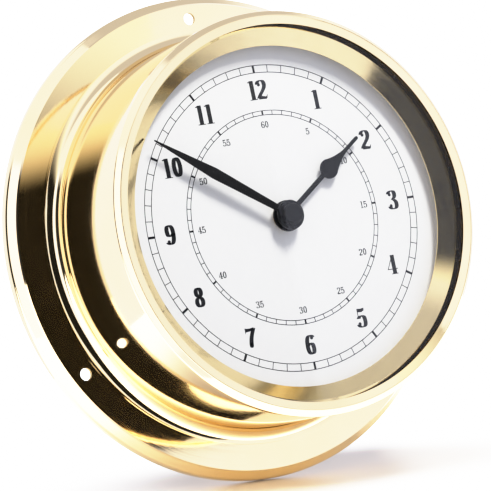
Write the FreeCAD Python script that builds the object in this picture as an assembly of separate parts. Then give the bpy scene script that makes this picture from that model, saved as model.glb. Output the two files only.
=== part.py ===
"""A brass ship's clock with a battery movement, one STEP file per piece, in millimetres.

The clock faces -Y, with +Z at 12 o'clock and +X at 3 o'clock. The origin is the centre of the
circle of the mounting holes, on the front face of the flange. All turned parts share the Y axis.
"""
import FreeCAD, Part

import math
import os

V = FreeCAD.Vector
AXIS = V(0, 1, 0)
ORIGIN = V(0, 0, 0)

# ---- driving dimensions: case ----
FLANGE_R = 62.5
RIM_STEP_R = 60.2
FOOT_R = 53.6
FOOT_STEP = 0.4
FOOT_TOP_Y = -4.0
BARREL_R = 50.0
SHEET = 1.0
WALL_Y = 4.5
HOLE_CIRCLE_R = 56.6
HOLE_R = 1.55
HOLE_ANGLES = (0, 120, 240)
BORE_R = BARREL_R - SHEET
BEZEL_Y = -31.6
CREST_Y = -35.2
LIP_R = 47.1

# ---- driving dimensions: what the bezel holds ----
STACK_R = 48.2
GLASS_FRONT_Y = -34.25
GLASS_BACK_Y = -32.5
GASKET_T = 0.25
REFLECTOR_T = 0.7
REFLECTOR_INNER_R = 42.7
REFLECTOR_INNER_Y = -29.5
REFLECTOR_OUTER_R = 46.4
DIAL_Y = -26.3
DIAL_T = 0.8
DIAL_BACK_Y = DIAL_Y + DIAL_T
SEAT_INNER_R = 45.5
SEAT_T = 2.0

# ---- driving dimensions: hands ----
MINUTE_ANGLE = 304.7
HOUR_ANGLE = 55.4
HAND_T = 0.4
HUB_R = 3.9
HOUR_HAND_Y = DIAL_Y - 1.7
HOUR_HAND_LENGTH = 29.8
MINUTE_HAND_Y = DIAL_Y - 3.1
MINUTE_HAND_LENGTH = 40.4
ARBOR_FRONT_Y = MINUTE_HAND_Y - 1.4
CAP_R = 2.6
CAP_TOP_Y = DIAL_Y - 5.4

# ---- driving dimensions: movement ----
MOVEMENT_HALF = 28.0
MOVEMENT_DEPTH = 16.0
WALL_T = 1.2
CORNER_R = 2.5
BUSH_R = 3.05
MOVEMENT_FRONT_Y = DIAL_BACK_Y
MOVEMENT_BACK_Y = MOVEMENT_FRONT_Y + MOVEMENT_DEPTH
KNOB_END_Y = MOVEMENT_BACK_Y + 2.5
KNOB_R = 4.6
KNOB_FLUTES = 18
SPLIT_Y = MOVEMENT_FRONT_Y + MOVEMENT_DEPTH / 2
FLOOR_Y = MOVEMENT_FRONT_Y + WALL_T
ROOF_Y = MOVEMENT_BACK_Y - WALL_T
INSIDE = MOVEMENT_HALF - WALL_T
BAY_TOP_Z = -11.2
BAY_WALL_T = 1.0
BATTERY_R = 7.25
BATTERY_Y = -16.8
BATTERY_Z = -19.2
BATTERY_END_X = 25.2
FOOT_POST_X = 30.6
FOOT_POST_LENGTH = 4.0
FOOT_SCREW_R = 1.0
EAR_T = 2.0

# ---- driving dimensions: wheels ----
MOTION_MODULE = 0.5
CENTRE_MODULE = 0.28
TRAIN_MODULE = 0.25
ROTOR_MODULE = 0.22
CANNON_TEETH = 10
MINUTE_WHEEL_TEETH = 30
MINUTE_PINION_TEETH = 8
HOUR_TEETH = 32
CENTRE_TEETH = 60
THIRD_TEETH = 64
SECONDS_TEETH = 40
INTERMEDIATE_TEETH = 36
PINION_TEETH = 8
ROTOR_TEETH = 6
PIPE_R = 2.2
ARBOR_R = 1.2
RUN = 0.05
PIVOT_R = 0.35
PIVOT_FRONT_Y = FLOOR_Y - 0.7
SHOULDER_FRONT_Y = FLOOR_Y + 0.15
BRIDGE_Y = -12.2
BRIDGE_T = 0.8
SHOULDER_BACK_Y = BRIDGE_Y - 0.15
PIVOT_BACK_Y = BRIDGE_Y + BRIDGE_T - 0.1

# ---- driving dimensions: where each toothed disc lies along Y ----
HOUR_DISC_Y = (-24.0, -23.1)
CANNON_Y = (-22.9, -21.7)
MINUTE_WHEEL_Y = (-22.75, -21.85)
MINUTE_PINION_Y = (-24.1, -22.75)
CENTRE_DISC_Y = (-21.4, -20.6)
CENTRE_SEAT_R = 0.8
CLUTCH_Y = -20.1
THIRD_WHEEL_Y = (-19.5, -18.9)
THIRD_PINION_Y = (-21.6, -20.3)
SECONDS_WHEEL_Y = (-17.9, -17.3)
SECONDS_PINION_Y = (-19.7, -18.7)
INTERMEDIATE_WHEEL_Y = (-16.4, -15.9)
INTERMEDIATE_PINION_Y = (-18.1, -17.1)
ROTOR_PINION_Y = (-16.6, -15.7)
MAGNET_Y = (-15.2, -12.9)
ROTOR_STAFF_R = 0.4
ROTOR_PIVOT_Y = -18.0

PARTS = {}


# ---- small helpers ----
def clock_point(radius, angle):
    """The x and z of a point at a clock angle, in degrees from 12 o'clock."""
    turn = math.radians(angle)
    return radius * math.sin(turn), radius * math.cos(turn)


def beyond(centre, distance, direction):
    """The x and z at a distance from a centre, with direction in degrees from +X towards +Z."""
    turn = math.radians(direction)
    return centre[0] + distance * math.cos(turn), centre[1] + distance * math.sin(turn)


def rod(x, z, radius, y0, y1):
    return Part.makeCylinder(radius, y1 - y0, V(x, y0, z), AXIS)


def tube(x, z, outer, inner, y0, y1):
    return rod(x, z, outer, y0, y1).cut(rod(x, z, inner, y0, y1))


def block(x0, x1, y0, y1, z0, z1):
    return Part.makeBox(x1 - x0, y1 - y0, z1 - z0, V(x0, y0, z0))


def soft_block(x0, x1, y0, y1, z0, z1, radius):
    """A block whose four edges along Y are rounded."""
    solid = block(x0, x1, y0, y1, z0, z1)
    edges = [e for e in solid.Edges if abs(e.tangentAt(e.FirstParameter).y) > 0.99]
    return solid.makeFillet(radius, edges)


def slab(outline, y0, y1):
    """A closed outline of x and z points, given a thickness along Y."""
    corners = [V(x, y0, z) for x, z in outline]
    face = Part.Face(Part.makePolygon(corners + corners[:1]))
    return face.extrude(V(0, y1 - y0, 0))


def line(a, b):
    return Part.makeLine(V(*a, 0), V(*b, 0))


def arc(a, middle, b):
    return Part.Arc(V(*a, 0), V(*middle, 0), V(*b, 0)).toShape()


def turned(edges):
    """A closed profile of radius and y, revolved round the Y axis."""
    return Part.Face(Part.Wire(edges)).revolve(ORIGIN, AXIS, 360)


def turned_outline(points):
    return turned([line(a, b) for a, b in zip(points, points[1:] + points[:1])])


def joined(first, *others):
    return first.multiFuse(list(others)).removeSplitter()


def group(solids):
    return Part.Compound(list(solids))


# ---- case ----
def case_shell():
    """Flange, foot and barrel, spun from one sheet: its outer line, then the sheet's thickness."""
    outer = [
        line((FLANGE_R, WALL_Y), (FLANGE_R, 3.3)),
        arc((FLANGE_R, 3.3), (62.32, 2.55), (61.9, 2.0)),
        line((61.9, 2.0), (RIM_STEP_R + 0.3, 0.5)),
        line((RIM_STEP_R + 0.3, 0.5), (RIM_STEP_R, 0)),
        line((RIM_STEP_R, 0), (FOOT_R, 0)),
        line((FOOT_R, 0), (FOOT_R - 0.05, -FOOT_STEP)),
        arc((FOOT_R - 0.05, -FOOT_STEP), (51.05, -1.45), (BARREL_R, FOOT_TOP_Y)),
        line((BARREL_R, FOOT_TOP_Y), (BARREL_R, BEZEL_Y)),
    ]
    section = Part.Wire(outer).makeOffset2D(SHEET, 0, True, True)
    shell = section.Faces[0].revolve(ORIGIN, AXIS, 360)
    for angle in HOLE_ANGLES:
        x, z = clock_point(HOLE_CIRCLE_R, angle)
        shell = shell.cut(rod(x, z, HOLE_R, -SHEET, 2 * SHEET))
    return shell


def bezel():
    """A ring with a spigot inside the barrel and a lip over the edge of the glass."""
    widest_r = 50.6
    shoulder = (50.35, -34.05)
    brow = (49.35, -35.05)
    crest = (49.17, CREST_Y)
    hollow = (48.95, -35.16)
    lip = (LIP_R, -34.62)
    seat_y = GLASS_FRONT_Y - GASKET_T
    bore = STACK_R + 0.1
    spigot = BORE_R - RUN
    return turned([
        line((bore, -28.6), (spigot, -28.6)),
        line((spigot, -28.6), (spigot, BEZEL_Y)),
        line((spigot, BEZEL_Y), (BARREL_R + 0.15, BEZEL_Y)),
        line((BARREL_R + 0.15, BEZEL_Y), (widest_r, -32.05)),
        line((widest_r, -32.05), (widest_r, -33.5)),
        arc((widest_r, -33.5), (50.54, -33.8), shoulder),
        line(shoulder, brow),
        arc(brow, crest, hollow),
        line(hollow, lip),
        line(lip, (LIP_R + 0.1, seat_y)),
        line((LIP_R + 0.1, seat_y), (bore, seat_y)),
        line((bore, seat_y), (bore, -28.6)),
    ])


def reflector_ring():
    """A sheet brass cone between the glass and the dial, with a flat flange under the glass."""
    inner = (REFLECTOR_INNER_R, REFLECTOR_INNER_Y)
    edge = (REFLECTOR_INNER_R + 0.05, REFLECTOR_INNER_Y + 0.4)
    back = (REFLECTOR_INNER_R + 0.45, REFLECTOR_INNER_Y + 0.5)
    corner = (REFLECTOR_OUTER_R, GLASS_BACK_Y)
    return turned([
        line((STACK_R, GLASS_BACK_Y), corner),
        line(corner, inner),
        arc(inner, edge, back),
        line(back, (REFLECTOR_OUTER_R + 0.25, GLASS_BACK_Y + REFLECTOR_T)),
        line((REFLECTOR_OUTER_R + 0.25, GLASS_BACK_Y + REFLECTOR_T), (STACK_R, GLASS_BACK_Y + REFLECTOR_T)),
        line((STACK_R, GLASS_BACK_Y + REFLECTOR_T), (STACK_R, GLASS_BACK_Y)),
    ])


def make_case():
    PARTS["case_shell"] = case_shell()
    PARTS["bezel"] = bezel()
    PARTS["glass"] = rod(0, 0, STACK_R, GLASS_FRONT_Y, GLASS_BACK_Y)
    PARTS["glass_gasket"] = tube(0, 0, STACK_R, LIP_R + 0.15, GLASS_FRONT_Y - GASKET_T, GLASS_FRONT_Y)
    PARTS["reflector_ring"] = reflector_ring()
    PARTS["spacer_ring"] = tube(0, 0, STACK_R, REFLECTOR_OUTER_R + 0.5, GLASS_BACK_Y + REFLECTOR_T, DIAL_Y)
    PARTS["dial_plate"] = tube(0, 0, STACK_R, BUSH_R + RUN, DIAL_Y, DIAL_BACK_Y)
    PARTS["dial_seat_ring"] = tube(0, 0, BORE_R, SEAT_INNER_R, DIAL_BACK_Y, DIAL_BACK_Y + SEAT_T)


# ---- wheels ----
def gear(centre, teeth, module, y0, y1, phase, pinion=False):
    """A toothed disc with one tooth at the angle phase. Wheels and pinions have their own tooth."""
    addendum, dedendum = (0.7, 1.3) if pinion else (1.0, 1.2)
    widths = (0.34, 0.34, 0.14) if pinion else (0.50, 0.40, 0.12)
    pitch_r = module * teeth / 2
    stations = zip((pitch_r - dedendum * module, pitch_r, pitch_r + addendum * module), widths)
    flank = [(radius, width * 180 / teeth) for radius, width in stations]
    outline = []
    for tooth in range(teeth):
        middle = phase + tooth * 360 / teeth
        outline += [beyond(centre, radius, middle - half) for radius, half in flank]
        outline += [beyond(centre, radius, middle + half) for radius, half in reversed(flank)]
    return slab(outline, y0, y1)


def meshing_phase(phase, teeth, other_teeth, direction):
    """The phase of the gear that lies in a direction from a gear and meshes with it."""
    return direction + 180 + 180 / other_teeth - (phase - direction) * teeth / other_teeth


def arbor(centre, radius):
    """A wheel's shaft, with a thin pivot at each end."""
    return joined(
        rod(*centre, radius, SHOULDER_FRONT_Y, SHOULDER_BACK_Y),
        rod(*centre, PIVOT_R, PIVOT_FRONT_Y, PIVOT_BACK_Y),
    )


CENTRE = (0.0, 0.0)
MOTION_DIRECTION = 150
THIRD_DIRECTION = 60
SECONDS_DIRECTION = -10
INTERMEDIATE_DIRECTION = 60
ROTOR_DIRECTION = 100
MINUTE_ARBOR = beyond(CENTRE, MOTION_MODULE * (CANNON_TEETH + MINUTE_WHEEL_TEETH) / 2, MOTION_DIRECTION)
THIRD_ARBOR = beyond(CENTRE, CENTRE_MODULE * (CENTRE_TEETH + PINION_TEETH) / 2, THIRD_DIRECTION)
SECONDS_ARBOR = beyond(THIRD_ARBOR, TRAIN_MODULE * (THIRD_TEETH + PINION_TEETH) / 2, SECONDS_DIRECTION)
INTERMEDIATE_ARBOR = beyond(
    SECONDS_ARBOR, TRAIN_MODULE * (SECONDS_TEETH + PINION_TEETH) / 2, INTERMEDIATE_DIRECTION
)
ROTOR_ARBOR = beyond(
    INTERMEDIATE_ARBOR, ROTOR_MODULE * (INTERMEDIATE_TEETH + ROTOR_TEETH) / 2, ROTOR_DIRECTION
)
MINUTE_ARBOR_R = 0.7
MINUTE_WHEEL_PHASE = meshing_phase(0, CANNON_TEETH, MINUTE_WHEEL_TEETH, MOTION_DIRECTION)
HOUR_PHASE = meshing_phase(0, MINUTE_PINION_TEETH, HOUR_TEETH, MOTION_DIRECTION + 180)
THIRD_PINION_PHASE = meshing_phase(0, CENTRE_TEETH, PINION_TEETH, THIRD_DIRECTION)
SECONDS_PINION_PHASE = meshing_phase(0, THIRD_TEETH, PINION_TEETH, SECONDS_DIRECTION)
INTERMEDIATE_PINION_PHASE = meshing_phase(0, SECONDS_TEETH, PINION_TEETH, INTERMEDIATE_DIRECTION)
ROTOR_PHASE = meshing_phase(0, INTERMEDIATE_TEETH, ROTOR_TEETH, ROTOR_DIRECTION)
STATOR_Y = -14.6
MAGNET_R = 2.2


def make_motion_work():
    """The wheels that carry the hands: cannon pinion, minute wheel and hour wheel."""
    pipe_front = HOUR_HAND_Y - 0.6
    hour_disc = gear(CENTRE, HOUR_TEETH, MOTION_MODULE, *HOUR_DISC_Y, HOUR_PHASE)
    hour_body = joined(hour_disc, rod(0, 0, PIPE_R, pipe_front, HOUR_DISC_Y[0]))
    PARTS["hour_wheel"] = hour_body.cut(rod(0, 0, ARBOR_R + RUN, pipe_front, HOUR_DISC_Y[1]))

    seat_back = CLUTCH_Y + 0.5
    PARTS["centre_arbor"] = joined(
        rod(0, 0, ARBOR_R, ARBOR_FRONT_Y, CANNON_Y[0]),
        gear(CENTRE, CANNON_TEETH, MOTION_MODULE, *CANNON_Y, 0, pinion=True),
        rod(0, 0, CENTRE_SEAT_R, CANNON_Y[1], seat_back),
        rod(0, 0, CENTRE_SEAT_R - 0.2, seat_back, SHOULDER_BACK_Y),
        rod(0, 0, PIVOT_R, SHOULDER_BACK_Y, PIVOT_BACK_Y),
    )

    PARTS["minute_wheel"] = joined(
        gear(MINUTE_ARBOR, MINUTE_PINION_TEETH, MOTION_MODULE, *MINUTE_PINION_Y, 0, pinion=True),
        gear(MINUTE_ARBOR, MINUTE_WHEEL_TEETH, MOTION_MODULE, *MINUTE_WHEEL_Y, MINUTE_WHEEL_PHASE),
        rod(*MINUTE_ARBOR, MINUTE_ARBOR_R, MINUTE_WHEEL_Y[1], KNOB_END_Y),
        rod(*MINUTE_ARBOR, PIVOT_R, PIVOT_FRONT_Y, MINUTE_PINION_Y[0]),
    )
    inner_r, flat_r, dish_r = CENTRE_SEAT_R, 1.2, 2.4
    PARTS["clutch_spring"] = turned_outline([
        (inner_r, CLUTCH_Y), (flat_r, CLUTCH_Y), (dish_r, CLUTCH_Y - 0.3),
        (dish_r, CLUTCH_Y - 0.1), (flat_r, CLUTCH_Y + 0.25), (inner_r, CLUTCH_Y + 0.25),
    ])


def wheel_and_pinion(centre, arbor_r, wheel, pinion):
    """A wheel and its pinion, each teeth, module, y0, y1 and phase, on one shaft."""
    return joined(arbor(centre, arbor_r), gear(centre, *wheel), gear(centre, *pinion, pinion=True))


def make_train():
    """The reduction from the rotor to the centre wheel."""
    centre_disc = gear(CENTRE, CENTRE_TEETH, CENTRE_MODULE, *CENTRE_DISC_Y, 0)
    PARTS["centre_wheel"] = centre_disc.cut(rod(0, 0, CENTRE_SEAT_R + RUN, *CENTRE_DISC_Y))
    PARTS["third_wheel"] = wheel_and_pinion(
        THIRD_ARBOR, 0.5,
        (THIRD_TEETH, TRAIN_MODULE, *THIRD_WHEEL_Y, 0),
        (PINION_TEETH, CENTRE_MODULE, *THIRD_PINION_Y, THIRD_PINION_PHASE),
    )
    PARTS["seconds_wheel"] = wheel_and_pinion(
        SECONDS_ARBOR, 0.45,
        (SECONDS_TEETH, TRAIN_MODULE, *SECONDS_WHEEL_Y, 0),
        (PINION_TEETH, TRAIN_MODULE, *SECONDS_PINION_Y, SECONDS_PINION_PHASE),
    )
    PARTS["intermediate_wheel"] = wheel_and_pinion(
        INTERMEDIATE_ARBOR, 0.45,
        (INTERMEDIATE_TEETH, ROTOR_MODULE, *INTERMEDIATE_WHEEL_Y, 0),
        (PINION_TEETH, TRAIN_MODULE, *INTERMEDIATE_PINION_Y, INTERMEDIATE_PINION_PHASE),
    )
    PARTS["rotor_magnet"] = tube(*ROTOR_ARBOR, MAGNET_R, ROTOR_STAFF_R, *MAGNET_Y)
    PARTS["rotor_pinion"] = joined(
        gear(ROTOR_ARBOR, ROTOR_TEETH, ROTOR_MODULE, *ROTOR_PINION_Y, ROTOR_PHASE, pinion=True),
        rod(*ROTOR_ARBOR, ROTOR_STAFF_R, ROTOR_PINION_Y[1], SHOULDER_BACK_Y),
        rod(*ROTOR_ARBOR, PIVOT_R, ROTOR_PIVOT_Y, PIVOT_BACK_Y),
    )


# ---- movement housing ----
POSTS = [(-13.5, -8.0), (12.5, -7.5), (-12.0, 17.0), (22.5, 3.0)]
STATOR_POSTS = [(-4.3, 22.0), (22.8, 22.0)]
BOARD_POSTS = [(-24.0, -7.5), (-24.0, 12.0)]
BOARD_Y = -15.5
BOARD_T = 0.8
POST_R = 1.6
SCREW_R = 0.7
STATOR_SCREW_R = 0.6
SCREW_LENGTH = 4.0
EAR_Y = DIAL_BACK_Y + FOOT_POST_LENGTH


def movement_base():
    """The front half of the housing: floor, walls, bay wall, posts, bearing holes and ears."""
    half = MOVEMENT_HALF
    shell = soft_block(-half, half, MOVEMENT_FRONT_Y, SPLIT_Y, -half, half, CORNER_R)
    shell = shell.cut(block(-INSIDE, INSIDE, FLOOR_Y, SPLIT_Y, BAY_TOP_Z + BAY_WALL_T, INSIDE))
    shell = shell.cut(block(-INSIDE, INSIDE, FLOOR_Y, SPLIT_Y, -INSIDE, BAY_TOP_Z))
    posts = [rod(x, z, POST_R, FLOOR_Y, BRIDGE_Y) for x, z in POSTS]
    posts += [rod(x, z, POST_R, FLOOR_Y, STATOR_Y) for x, z in STATOR_POSTS]
    posts += [rod(x, z, POST_R, FLOOR_Y, BOARD_Y) for x, z in BOARD_POSTS]
    rotor_post_y = ROTOR_PIVOT_Y + 0.8
    posts.append(rod(*ROTOR_ARBOR, 1.2, FLOOR_Y, rotor_post_y))
    for side in (-1, 1):
        x0, x1 = sorted((side * (half - 0.5), side * (FOOT_POST_X + 2.6)))
        posts.append(soft_block(x0, x1, EAR_Y, EAR_Y + EAR_T, -4, 4, 1.5))
    solid = joined(shell, *posts)
    holes = [rod(x, z, SCREW_R, BRIDGE_Y - SCREW_LENGTH, BRIDGE_Y) for x, z in POSTS]
    holes += [rod(x, z, SCREW_R, STATOR_Y - SCREW_LENGTH, STATOR_Y) for x, z in STATOR_POSTS]
    floor_arbors = (MINUTE_ARBOR, THIRD_ARBOR, SECONDS_ARBOR, INTERMEDIATE_ARBOR)
    holes += [rod(*c, PIVOT_R + RUN, PIVOT_FRONT_Y - 0.1, FLOOR_Y) for c in floor_arbors]
    holes.append(rod(*ROTOR_ARBOR, PIVOT_R + RUN, ROTOR_PIVOT_Y - 0.2, rotor_post_y))
    holes.append(rod(0, 0, BUSH_R, MOVEMENT_FRONT_Y, FLOOR_Y))
    holes += [rod(side * FOOT_POST_X, 0, FOOT_SCREW_R, EAR_Y, EAR_Y + EAR_T) for side in (-1, 1)]
    return solid.cut(holes)


def movement_cover():
    """The rear half: it closes the wheels in and leaves the battery bay open at the back."""
    half = MOVEMENT_HALF
    shell = soft_block(-half, half, SPLIT_Y, MOVEMENT_BACK_Y, -half, half, CORNER_R)
    shell = shell.cut(block(-INSIDE, INSIDE, SPLIT_Y, ROOF_Y, BAY_TOP_Z + BAY_WALL_T, INSIDE))
    shell = shell.cut(block(-INSIDE, INSIDE, SPLIT_Y, MOVEMENT_BACK_Y, -INSIDE, BAY_TOP_Z))
    ribs = [block(x - 0.5, x + 0.5, MOVEMENT_BACK_Y, MOVEMENT_BACK_Y + 0.5, 12, 25) for x in (-6, 0, 6, 12)]
    clips = []
    for side in (-1, 1):
        x0, x1 = sorted((side * half, side * (half + 1.0)))
        clips += [block(x0, x1, SPLIT_Y - 3, SPLIT_Y + 4, z - 3, z + 3) for z in (-18, 18)]
    solid = joined(shell, *ribs, *clips)
    return solid.cut(rod(*MINUTE_ARBOR, 1.2, ROOF_Y, MOVEMENT_BACK_Y))


def train_bridge():
    """The plate that carries the rear pivots, screwed to four posts."""
    outline = [
        (-15.5, -9.6), (14.5, -9.6), (24.5, 1.0), (24.5, 5.0), (19.5, 19.4), (-14.0, 19.4), (-15.5, 17.0),
    ]
    plate = slab(outline, BRIDGE_Y, BRIDGE_Y + BRIDGE_T)
    top = BRIDGE_Y + BRIDGE_T
    pivots = (CENTRE, THIRD_ARBOR, SECONDS_ARBOR, INTERMEDIATE_ARBOR, ROTOR_ARBOR)
    holes = [rod(*c, PIVOT_R + RUN, BRIDGE_Y, top) for c in pivots]
    holes.append(rod(*MINUTE_ARBOR, MINUTE_ARBOR_R + RUN, BRIDGE_Y, top))
    holes += [rod(x, z, SCREW_R, BRIDGE_Y, top) for x, z in POSTS]
    return plate.cut(holes)


def screw(x, z, seat_y, length, head_r, shank_r, head_t):
    """A pan-head screw driven in from the back, with a cross slot."""
    head = rod(x, z, head_r, seat_y, seat_y + head_t)
    slots = [
        block(x - 0.6 * head_r, x + 0.6 * head_r, seat_y + 0.5 * head_t, seat_y + head_t, z - 0.15, z + 0.15),
        block(x - 0.15, x + 0.15, seat_y + 0.5 * head_t, seat_y + head_t, z - 0.6 * head_r, z + 0.6 * head_r),
    ]
    return joined(head, rod(x, z, shank_r, seat_y - length, seat_y)).cut(slots)


def make_housing():
    PARTS["movement_base"] = movement_base()
    PARTS["movement_cover"] = movement_cover()
    PARTS["centre_bush"] = tube(0, 0, BUSH_R, PIPE_R + RUN, DIAL_Y - 0.9, FLOOR_Y)
    PARTS["train_bridge"] = train_bridge()
    bridge_back = BRIDGE_Y + BRIDGE_T
    PARTS["bridge_screws"] = group(
        screw(x, z, bridge_back, SCREW_LENGTH, 1.3, SCREW_R, 0.6) for x, z in POSTS
    )
    feet = []
    fixings = []
    for x in (-FOOT_POST_X, FOOT_POST_X):
        post = rod(x, 0, 1.9, DIAL_BACK_Y, EAR_Y)
        feet.append(post.cut(rod(x, 0, FOOT_SCREW_R, DIAL_BACK_Y + 1, EAR_Y)))
        fixings.append(screw(x, 0, EAR_Y + EAR_T, 4.5, 1.9, FOOT_SCREW_R, 1.1))
    PARTS["dial_feet"] = group(feet)
    PARTS["movement_screws"] = group(fixings)


# ---- electrical pieces ----
CORE_T = 0.8
CORE_Y = STATOR_Y + CORE_T
COIL_Z = 23.0
COIL_X0 = -2.4
COIL_X1 = 20.9
CORE_X = (-6.0, 24.5)
CORE_Z = (21.6, 24.4)
STATOR_Z = (13.2, 19.6)
STATOR_EAR = 3.4
ROTOR_HOLE_R = 2.6
SLEEVE_HALF = 0.9
FLANGE_HALF = 3.1
WINDING_HALF = 2.8


def make_motor():
    """The stepping motor: lamination with the rotor hole, core, bobbin and winding."""
    left, right = CORE_X
    seat = CORE_Y + CORE_T
    plate = block(left, right, STATOR_Y, CORE_Y, *STATOR_Z)
    ears = [
        block(x, x + STATOR_EAR, STATOR_Y, CORE_Y, STATOR_Z[1], CORE_Z[1]) for x in (left, right - STATOR_EAR)
    ]
    core = block(left, right, CORE_Y, seat, *CORE_Z)
    screw_holes = [rod(x, z, STATOR_SCREW_R, STATOR_Y, seat) for x, z in STATOR_POSTS]
    rotor_hole = rod(*ROTOR_ARBOR, ROTOR_HOLE_R, STATOR_Y, CORE_Y)
    PARTS["stator"] = joined(plate, *ears).cut([rotor_hole] + screw_holes)
    PARTS["coil_core"] = core.cut(screw_holes)

    def round_core(x0, x1, half_y, half_z):
        middle_y = CORE_Y + CORE_T / 2
        return block(x0, x1, middle_y - half_y, middle_y + half_y, COIL_Z - half_z, COIL_Z + half_z)

    sleeve = round_core(COIL_X0, COIL_X1, SLEEVE_HALF, SLEEVE_HALF + 1)
    flanges = [round_core(x, x + 1, FLANGE_HALF - 0.5, FLANGE_HALF) for x in (COIL_X0, COIL_X1 - 1)]
    PARTS["coil_bobbin"] = joined(sleeve, *flanges).cut(core)
    turns = round_core(COIL_X0 + 1, COIL_X1 - 1, WINDING_HALF - 0.5, WINDING_HALF)
    along = [e for e in turns.Edges if abs(e.tangentAt(e.FirstParameter).x) > 0.99]
    PARTS["coil_winding"] = turns.makeFillet(1.5, along).cut(sleeve)
    PARTS["stator_screws"] = group(
        screw(x, z, seat, SCREW_LENGTH, 1.2, STATOR_SCREW_R, 0.6) for x, z in STATOR_POSTS
    )


def make_circuit():
    board_back = BOARD_Y + BOARD_T
    PARTS["circuit_board"] = block(-26.2, -16.8, BOARD_Y, board_back, -9.4, 14.0)
    chip = rod(-21.5, 2.0, 2.4, board_back, board_back + 1.0)
    PARTS["control_chip"] = chip.makeChamfer(0.5, [chip.Edges[0]])
    PARTS["quartz_crystal"] = Part.makeCylinder(1.0, 6.0, V(-19.0, board_back + 1.0, 6.5), V(0, 0, 1))


def leaf_contact():
    """A bowed strip that presses on the flat end of the battery."""
    plane_x = -INSIDE
    bow_x = -BATTERY_END_X - 0.4
    curve = Part.Arc(V(plane_x + 0.3, -22.5, 0), V(bow_x, BATTERY_Y, 0), V(plane_x + 0.3, -11.1, 0))
    strip = Part.Wire([curve.toShape()]).makeOffset2D(0.25, 0, True, True)
    leaf = strip.Faces[0].extrude(V(0, 0, 7))
    leaf.translate(V(0, 0, BATTERY_Z - 3.5))
    return leaf


def make_battery():
    """One cell across the bottom of the movement, between a leaf and a button contact."""
    can = Part.makeCylinder(BATTERY_R, 49.2, V(-BATTERY_END_X, BATTERY_Y, BATTERY_Z), V(1, 0, 0))
    can = can.makeFillet(0.6, can.Edges[0:1] + can.Edges[2:3])
    nub = Part.makeCylinder(2.75, 1.4, V(49.1 - BATTERY_END_X, BATTERY_Y, BATTERY_Z), V(1, 0, 0))
    PARTS["battery"] = joined(can, nub)
    PARTS["negative_contact"] = leaf_contact()
    blade = block(INSIDE - 0.35, INSIDE - 0.05, -23.5, -10.2, BATTERY_Z - 3.5, BATTERY_Z + 3.5)
    button = Part.makeCylinder(1.5, 0.95, V(INSIDE - 0.35 - 0.9, BATTERY_Y, BATTERY_Z), V(1, 0, 0))
    PARTS["positive_contact"] = joined(blade, button)


# ---- hands and knob ----
def pointing(shape, angle):
    """Turns a hand made pointing at 12 o'clock to its clock angle."""
    shape.rotate(ORIGIN, AXIS, angle)
    return shape


def hour_hand():
    """A thin stem, a round boss and a blade that narrows to a rounded tip."""
    y0, y1 = HOUR_HAND_Y - HAND_T, HOUR_HAND_Y
    boss_z, boss_r = 17.6, 2.5
    stem_half, tip_half, neck_z = 0.6, 0.45, 25.0
    tangent = math.radians(20)
    side = (boss_r * math.cos(tangent), boss_z + boss_r * math.sin(tangent))
    middle = (1.05, 21.6)
    edges = []
    for sign in (1, -1):
        ends = [(sign * side[0], side[1]), (sign * middle[0], middle[1]), (sign * tip_half, neck_z)]
        edges.append(Part.Arc(*[V(x, y0, z) for x, z in ends]).toShape())
    edges.append(Part.makeLine(V(-tip_half, y0, neck_z), V(tip_half, y0, neck_z)))
    edges.append(Part.makeLine(V(-side[0], y0, side[1]), V(side[0], y0, side[1])))
    blade = Part.Face(Part.Wire(Part.__sortEdges__(edges))).extrude(V(0, y1 - y0, 0))
    tip_z = HOUR_HAND_LENGTH - tip_half
    solid = joined(
        rod(0, 0, HUB_R, y0, y1 + 0.2),
        rod(0, boss_z, boss_r, y0, y1),
        rod(0, tip_z, tip_half, y0, y1),
        block(-tip_half, tip_half, y0, y1, neck_z - 0.5, tip_z),
        block(-stem_half, stem_half, y0, y1, 0, boss_z),
        blade,
    )
    return pointing(solid.cut(rod(0, 0, PIPE_R, y0, y1 + 0.2)), HOUR_ANGLE)


def minute_hand():
    """A long lance, widest at its middle and pointed."""
    y0, y1 = MINUTE_HAND_Y - HAND_T, MINUTE_HAND_Y
    widest_z = 0.56 * MINUTE_HAND_LENGTH
    half = [(0.7, 0), (1.4, widest_z), (0.12, MINUTE_HAND_LENGTH)]
    outline = half + [(-x, z) for x, z in reversed(half)]
    solid = joined(slab(outline, y0, y1), rod(0, 0, HUB_R - 0.2, y0 - 0.2, y1))
    return pointing(solid.cut(rod(0, 0, ARBOR_R, y0 - 0.2, y1)), MINUTE_ANGLE)


def make_hands():
    PARTS["hour_hand"] = hour_hand()
    PARTS["minute_hand"] = minute_hand()
    cap_back = MINUTE_HAND_Y - HAND_T - 0.2
    cap = turned([
        line((0, cap_back), (CAP_R, cap_back)),
        line((CAP_R, cap_back), (CAP_R, CAP_TOP_Y + 0.35)),
        arc((CAP_R, CAP_TOP_Y + 0.35), (CAP_R - 0.12, CAP_TOP_Y + 0.12), (CAP_R - 0.4, CAP_TOP_Y)),
        line((CAP_R - 0.4, CAP_TOP_Y), (0, CAP_TOP_Y)),
        line((0, CAP_TOP_Y), (0, cap_back)),
    ])
    PARTS["hand_cap"] = cap.cut(rod(0, 0, ARBOR_R, ARBOR_FRONT_Y, cap_back))


def make_knob():
    """The setting knob, pressed on the end of the minute wheel's shaft and fluted for grip."""
    x, z = MINUTE_ARBOR
    front, back = MOVEMENT_BACK_Y + 0.3, MOVEMENT_BACK_Y + 3.5
    solid = rod(x, z, KNOB_R, front, back)
    grooves = [beyond(MINUTE_ARBOR, KNOB_R + 0.25, k * 360 / KNOB_FLUTES) for k in range(KNOB_FLUTES)]
    solid = solid.cut([rod(*c, 0.55, front + 0.6, back) for c in grooves])
    PARTS["setting_knob"] = solid.cut(rod(x, z, MINUTE_ARBOR_R, front, KNOB_END_Y))


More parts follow.
